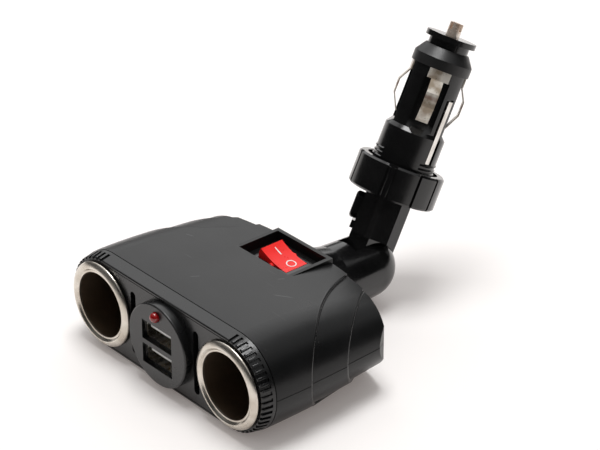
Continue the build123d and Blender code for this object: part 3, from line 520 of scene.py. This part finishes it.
def makeBezelBars(values, side, name):
    bars = []
    for index in range(values["count"]):
        angle = (index - (values["count"] - 1) / 2) * math.radians(values["pitch"])
        deselectAll()
        bpy.ops.mesh.primitive_cube_add(size=1.0)
        bar = bpy.context.object
        bar.scale = (values["height"] / 1000, values["length"], values["width"] / 1000)
        applyPlace(bar)
        bpy.ops.object.mode_set(mode="EDIT")
        bpy.ops.mesh.select_all(action="SELECT")
        bpy.ops.mesh.bevel(offset=values["round"] / 1000, segments=3, affect="EDGES")
        bpy.ops.object.mode_set(mode="OBJECT")
        middle = (values["frontRadius"] + values["rearRadius"]) / 2 + values["proud"] - values["height"] / 2
        rise = math.atan2((values["rearRadius"] - values["frontRadius"]) / 1000, values["length"])
        out = Vector((side * math.cos(angle), 0.0, math.sin(angle)))
        centre = Vector((side * layout["socketX"], values["frontY"] + values["length"] / 2, layout["axisZ"]))
        sideways = Vector((0.0, 1.0, 0.0)).cross(out)
        lie = Vector((0.0, 1.0, 0.0)) * math.cos(rise) + out * math.sin(rise)
        stand = lie.cross(sideways)
        if stand.dot(out) < 0:
            stand = -stand
            sideways = -sideways
        bar.matrix_world = placeMatrix(stand, lie, sideways, centre + out * middle / 1000)
        applyPlace(bar)
        bars.append(bar)
    deselectAll()
    for bar in bars:
        bar.select_set(True)
    bpy.context.view_layer.objects.active = bars[0]
    bpy.ops.object.join()
    piece = bpy.context.object
    piece.name = name
    bpy.ops.object.mode_set(mode="EDIT")
    bpy.ops.mesh.select_all(action="SELECT")
    bpy.ops.mesh.normals_make_consistent(inside=False)
    bpy.ops.object.mode_set(mode="OBJECT")
    smoothByAngle(piece, values["smooth"])
    dress(piece, "bezel")
    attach(piece, "housing")


makeBezelBars(bezelBars, 1, "right_bezel_bars")
makeBezelBars(bezelBars, -1, "left_bezel_bars")
print("bezel bars set")

# Rounded edges of the steps in the flanks, traced on the housing where its surface falls away
stepEdges = {
    "lines": ((-0.0170, -0.0020), (-0.0040, 0.0120)), "low": 0.0030, "high": 0.0255, "levels": 30,
    "sweep": 0.00005, "jump": 0.000018, "radius": 0.00085, "sink": 0.00081, "taper": 8,
    "away": 0.08, "topStep": 0.0006, "topReach": 0.004, "topEnd": 0.018,
    "settle": 9, "evenOut": 4, "endSize": 0.80, "roundSteps": 3, "smooth": 50,
}


def findEdge(values, target, start, heading, stop):
    # walks +Y until the surface falls away, and gives a place just under its edge
    y, places, normals = start.y, [], []
    while y < stop:
        hit, place, normal, face = target.ray_cast(Vector((start.x, y, start.z)), heading)
        if hit:
            if places and abs((place - places[-1]).dot(heading)) > values["jump"]:
                return places[-1] - normals[max(0, len(normals) - values["settle"])] * values["sink"]
            places.append(place.copy())
            normals.append(normal.copy())
        y += values["sweep"]
    return None


def traceStep(values, side, span):
    points = []
    for level in range(values["levels"]):
        z = values["low"] + (values["high"] - values["low"]) * level / (values["levels"] - 1)
        target = nodes["upper_housing"] if z > layout["axisZ"] else nodes["lower_housing"]
        start = Vector((side * values["away"], span[0], z))
        point = findEdge(values, target, start, Vector((-side, 0.0, 0.0)), span[1])
        if point:
            points.append(point)
    # on over the shoulder, seen from above
    down = Vector((0.0, 0.0, -1.0))
    x = abs(points[-1].x) - values["topStep"]
    while x > values["topEnd"]:
        start = Vector((side * x, points[-1].y - values["topStep"] * 1.5, values["away"]))
        point = findEdge(values, nodes["upper_housing"], start, down, start.y + values["topReach"])
        if not point:
            break
        points.append(point)
        x -= values["topStep"]
    for turn in range(values["evenOut"]):
        middle = [(a + b * 2.0 + c) / 4.0 for a, b, c in zip(points, points[1:], points[2:])]
        points = [points[0]] + middle + [points[-1]]
    return points


def makeStepEdge(values, side, span, name):
    points = traceStep(values, side, span)
    print(name, "traced at", len(points), "places")
    deselectAll()
    line = bpy.data.curves.new(name, "CURVE")
    line.dimensions = "3D"
    line.bevel_depth = values["radius"]
    line.bevel_resolution = values["roundSteps"]
    line.use_fill_caps = True
    spline = line.splines.new("NURBS")
    spline.points.add(len(points) - 1)
    for number, place in enumerate(points):
        spline.points[number].co = (*place, 1.0)
        toEnd = min(number, len(points) - 1 - number)
        grown = min(1.0, toEnd / values["taper"])
        spline.points[number].radius = values["endSize"] + (1.0 - values["endSize"]) * grown
    spline.order_u = 3
    spline.use_endpoint_u = True
    piece = bpy.data.objects.new(name, line)
    scene.collection.objects.link(piece)
    makeActive(piece)
    bpy.ops.object.convert(target="MESH")
    piece = bpy.context.object
    smoothByAngle(piece, values["smooth"])
    dress(piece, "bezel")
    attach(piece, "housing")


for side, sideName in ((1, "right"), (-1, "left")):
    for number, span in enumerate(stepEdges["lines"]):
        makeStepEdge(stepEdges, side, span, "%s_step_edge_%d" % (sideName, number + 1))

# Thread that shows above the lock ring, left off the smooth front panel
sleeveThread = {
    "start": 34.0, "pitch": 1.3, "rows": 3, "radius": 9.55, "height": 0.40, "steps": 48,
    "sectors": ((246.0, 150.0), (18.0, 144.0)), "smooth": 30,
}


def makeSleeveThread(values):
    arcs = []
    for first, sweep in values["sectors"]:
        deselectAll()
        bpy.ops.mesh.primitive_circle_add(vertices=4, radius=values["height"] / 1000,
                                          location=(values["radius"] / 1000, 0.0, 0.0),
                                          rotation=(math.pi / 2, 0.0, 0.0))
        arc = bpy.context.object
        applyPlace(arc)
        turn = arc.modifiers.new("turn", "SCREW")
        turn.axis = "Z"
        turn.angle = math.radians(sweep)
        turn.screw_offset = values["pitch"] / 1000 * sweep / 360.0
        turn.steps = values["steps"]
        turn.render_steps = values["steps"]
        rows = arc.modifiers.new("rows", "ARRAY")
        rows.count = values["rows"]
        rows.use_relative_offset = False
        rows.use_constant_offset = True
        rows.constant_offset_displace = (0.0, 0.0, values["pitch"] / 1000)
        applyModifiers(arc)
        bpy.ops.object.mode_set(mode="EDIT")
        bpy.ops.mesh.select_all(action="SELECT")
        bpy.ops.mesh.fill_holes(sides=4)
        bpy.ops.mesh.select_all(action="SELECT")
        bpy.ops.mesh.normals_make_consistent(inside=False)
        bpy.ops.object.mode_set(mode="OBJECT")
        arc.matrix_world = plugTurn(values["start"] / 1000, math.radians(first))
        applyPlace(arc)
        arcs.append(arc)
    deselectAll()
    for arc in arcs:
        arc.select_set(True)
    bpy.context.view_layer.objects.active = arcs[0]
    bpy.ops.object.join()
    piece = bpy.context.object
    piece.name = "sleeve_thread"
    smoothByAngle(piece, values["smooth"])
    dress(piece, "gloss")
    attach(piece, "plug")


makeSleeveThread(sleeveThread)
print("thread turned")

# Ridges in the lock ring's thumb recesses
thumbRidges = {
    "turns": (59.0, 239.0), "spread": 0.85, "size": (0.7, 0.55, 9.2),
    "radius": 13.15, "middle": 28.9, "round": 0.18, "smooth": 40,
}


def makeThumbRidges(values):
    number = 0
    for turn in values["turns"]:
        for side in (-1, 1):
            number += 1
            deselectAll()
            bpy.ops.mesh.primitive_cube_add(size=0.001)
            piece = bpy.context.object
            piece.name = "thumb_ridge_%d" % number
            piece.scale = values["size"]
            applyPlace(piece)
            bpy.ops.object.mode_set(mode="EDIT")
            bpy.ops.mesh.select_all(action="SELECT")
            bpy.ops.mesh.bevel(offset=values["round"] / 1000, segments=3, affect="EDGES")
            bpy.ops.object.mode_set(mode="OBJECT")
            place = plugTurn(values["middle"] / 1000, math.radians(turn))
            shift = Vector((values["radius"] / 1000, side * values["spread"] / 1000, 0.0))
            piece.matrix_world = place @ Matrix.Translation(shift)
            applyPlace(piece)
            smoothByAngle(piece, values["smooth"])
            dress(piece, "gloss")
            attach(piece, "ring")


makeThumbRidges(thumbRidges)
print("thumb ridges set")

# Camera at the photograph's place
camera = {
    "azimuth": math.radians(49.11), "elevation": math.radians(29.01), "distance": 0.6805,
    "target": Vector((0.02161, 0.0050, 0.0515)), "lens": 144.0, "sensor": 36.0,
}


def makeCamera(values):
    a, e = values["azimuth"], values["elevation"]
    away = Vector((math.sin(a) * math.cos(e), -math.cos(a) * math.cos(e), math.sin(e)))
    right = Vector((math.cos(a), math.sin(a), 0.0))
    up = away.cross(right)
    spot = values["target"] + away * values["distance"]
    data = bpy.data.cameras.new("productCamera")
    data.lens = values["lens"]
    data.sensor_width = values["sensor"]
    data.sensor_fit = "HORIZONTAL"
    eye = bpy.data.objects.new("productCamera", data)
    scene.collection.objects.link(eye)
    eye.matrix_world = placeMatrix(right, up, away, spot)
    scene.camera = eye


makeCamera(camera)

# Floor and light
studio = {
    "floorSize": 8.0, "floorDrop": 0.00005, "floorColour": (0.88, 0.862, 0.85), "floorRough": 0.9,
    "floorTopUp": 0.14, "topUpColour": (1.0, 0.86, 0.80),
    "fill": 0.38, "overhead": 0.55, "dim": 0.03, "overheadSide": (-0.15, 0.35, 0.92), "edge": (0.28, 0.85),
    "keyPlace": (-0.69, 0.56, 0.70), "keySize": 1.05, "keyPower": 3.7,
    "lampPlace": (-0.06, 0.06, 1.0), "lampSize": 0.42, "lampPower": 6.4,
    "lightAim": (0.0, 0.01, 0.02),
    "flagPlace": (0.42, 0.30, 0.20), "flagSize": (0.85, 0.40), "flagTurn": 49.0,
    "flagColour": (0.01, 0.01, 0.01),
}


def rayKind(tree):
    # 1 for what the camera, gloss and glass see, and 1 for the camera alone
    path = tree.nodes.new("ShaderNodeLightPath")
    fromCamera = path.outputs["Is Camera Ray"]
    seen = addMath(tree, "MAXIMUM", fromCamera, path.outputs["Is Glossy Ray"])
    seen = addMath(tree, "MAXIMUM", seen, path.outputs["Is Transmission Ray"])
    return seen, fromCamera


def makeFloor(values):
    deselectAll()
    bpy.ops.mesh.primitive_plane_add(size=values["floorSize"], location=(0.0, 0.0, -values["floorDrop"]))
    floor = bpy.context.object
    floor.name = "studio_floor"
    finish, tree, shader, coords = startFinish("studioFloor")
    shader.inputs["Base Color"].default_value = (*values["floorColour"], 1.0)
    shader.inputs["Roughness"].default_value = values["floorRough"]
    shader.inputs["Specular IOR Level"].default_value = 0.0
    shader.inputs["Emission Color"].default_value = (*values["topUpColour"], 1.0)
    seen = rayKind(tree)[0]
    tree.links.new(addMath(tree, "MULTIPLY", seen, values["floorTopUp"]), shader.inputs["Emission Strength"])
    floor.data.materials.append(finish)


def makeWorld(values):
    world = bpy.data.worlds.new("studioWorld")
    scene.world = world
    world.use_nodes = True
    tree = world.node_tree
    tree.nodes.clear()
    out = tree.nodes.new("ShaderNodeOutputWorld")
    back = tree.nodes.new("ShaderNodeBackground")
    back.inputs["Color"].default_value = (1.0, 1.0, 1.0, 1.0)
    tree.links.new(back.outputs["Background"], out.inputs["Surface"])
    place = tree.nodes.new("ShaderNodeTexCoord")
    facing = tree.nodes.new("ShaderNodeVectorMath")
    facing.operation = "DOT_PRODUCT"
    facing.inputs[1].default_value = values["overheadSide"]
    tree.links.new(place.outputs["Generated"], facing.inputs[0])
    sheen = addSpan(tree, facing.outputs["Value"], values["dim"], values["overhead"], *values["edge"])
    seen, fromCamera = rayKind(tree)
    lit = addMath(tree, "MULTIPLY", addMath(tree, "SUBTRACT", 1.0, seen), values["fill"])
    shown = addMath(tree, "MULTIPLY", seen, addMath(tree, "MAXIMUM", sheen, fromCamera))
    tree.links.new(addMath(tree, "ADD", lit, shown), back.inputs["Strength"])


def makeLight(name, place, size, power, shine):
    data = bpy.data.lights.new(name, "AREA")
    data.shape = "SQUARE"
    data.size = size
    data.energy = power
    data.specular_factor = shine
    lamp = bpy.data.objects.new(name, data)
    scene.collection.objects.link(lamp)
    lamp.location = place
    aim = Vector(studio["lightAim"]) - Vector(place)
    lamp.rotation_euler = aim.to_track_quat("-Z", "Y").to_euler()


def makeBlackFlag(values):
    # dark card beside the set, so that the flank turns dark: the camera doesn't see it
    deselectAll()
    bpy.ops.mesh.primitive_plane_add(size=1.0, location=values["flagPlace"],
                                     rotation=(math.pi / 2, 0.0, math.radians(90.0 + values["flagTurn"])))
    flag = bpy.context.object
    flag.name = "black_flag"
    flag.scale = (values["flagSize"][0], values["flagSize"][1], 1.0)
    applyPlace(flag)
    finish, tree, shader, coords = startFinish("flagBlack")
    shader.inputs["Base Color"].default_value = (*values["flagColour"], 1.0)
    shader.inputs["Roughness"].default_value = 1.0
    shader.inputs["Specular IOR Level"].default_value = 0.0
    flag.data.materials.append(finish)
    flag.visible_camera = False
    flag.visible_diffuse = False
    flag.visible_shadow = False


makeFloor(studio)
makeWorld(studio)
makeLight("keySoftbox", studio["keyPlace"], studio["keySize"], studio["keyPower"], 1.0)
makeLight("overheadLamp", studio["lampPlace"], studio["lampSize"], studio["lampPower"], 0.0)
makeBlackFlag(studio)
scene.view_settings.view_transform = "Standard"
print("studio lit")
